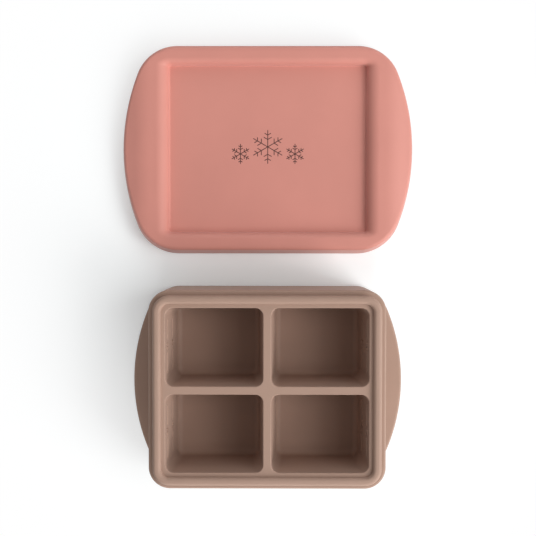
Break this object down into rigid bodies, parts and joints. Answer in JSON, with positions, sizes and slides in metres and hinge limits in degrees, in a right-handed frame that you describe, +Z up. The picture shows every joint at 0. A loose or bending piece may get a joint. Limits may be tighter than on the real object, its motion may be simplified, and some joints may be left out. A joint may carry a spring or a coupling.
{
  "type": "baby food freezer tray",
  "caption": "Soft freezer tray with deep rectangular pockets, a raised sealing ridge and a winged foot, with a matching winged press-on lid lying behind it.",
  "frame": {"origin": "on the table, under the middle of the tray and the lid together", "axes": "+X to the right along both winged pieces, +Y from the tray to the lid behind it, +Z up"},
  "size_m": [0.1872, 0.2765, 0.05],
  "materials": {
    "tray_silicone": "matte",
    "lid_silicone": "matte"
  },
  "bodies": {
    "tray": {"tray": "tray_silicone"},
    "lid": {"lid": "lid_silicone"}
  },
  "joints": [
    {"name": "lid_lift", "type": "slide", "parent": "tray", "child": "lid", "axis": [0, 0, 1], "range_m": [0, 0.1]}
  ]
}
